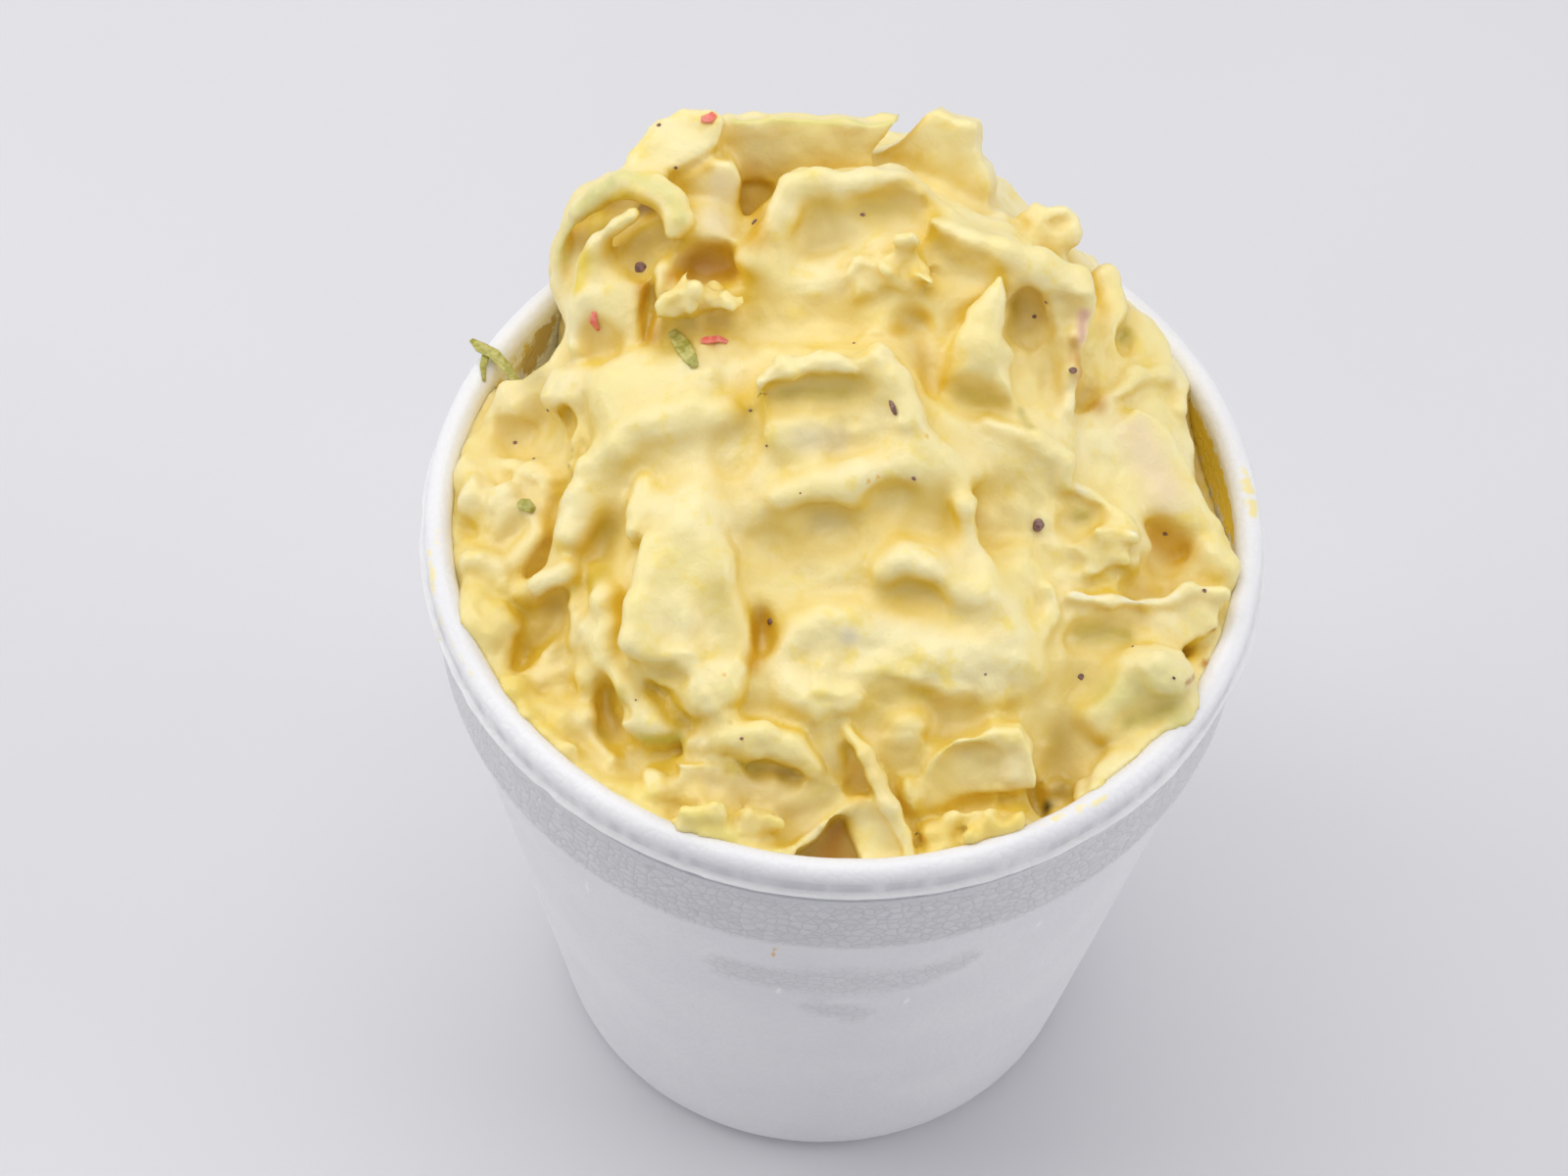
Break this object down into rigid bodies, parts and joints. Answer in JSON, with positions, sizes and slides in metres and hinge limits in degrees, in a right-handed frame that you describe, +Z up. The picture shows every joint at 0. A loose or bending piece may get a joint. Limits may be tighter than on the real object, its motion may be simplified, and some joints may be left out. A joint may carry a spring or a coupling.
{
  "type": "potato salad in foam cup",
  "caption": "Creamy potato salad heaped high above the rim of a white foam cup, with diced potato, folds and strands of dressing on a solid core.",
  "frame": {"origin": "centre of the cup's underside, on the plane that it stands on", "axes": "+Z up, +Y towards the high far side of the heap, +X to the right seen from the low near side"},
  "size_m": [0.095, 0.095, 0.1211],
  "materials": {
    "foam": "white expanded polystyrene foam, faint cell pattern, slight sheen",
    "salad": "creamy pale yellow dressing over diced potato, moist, softly glossy"
  },
  "bodies": {
    "root": {"foam_cup": "foam", "potato_salad": "salad"}
  },
  "joints": []
}
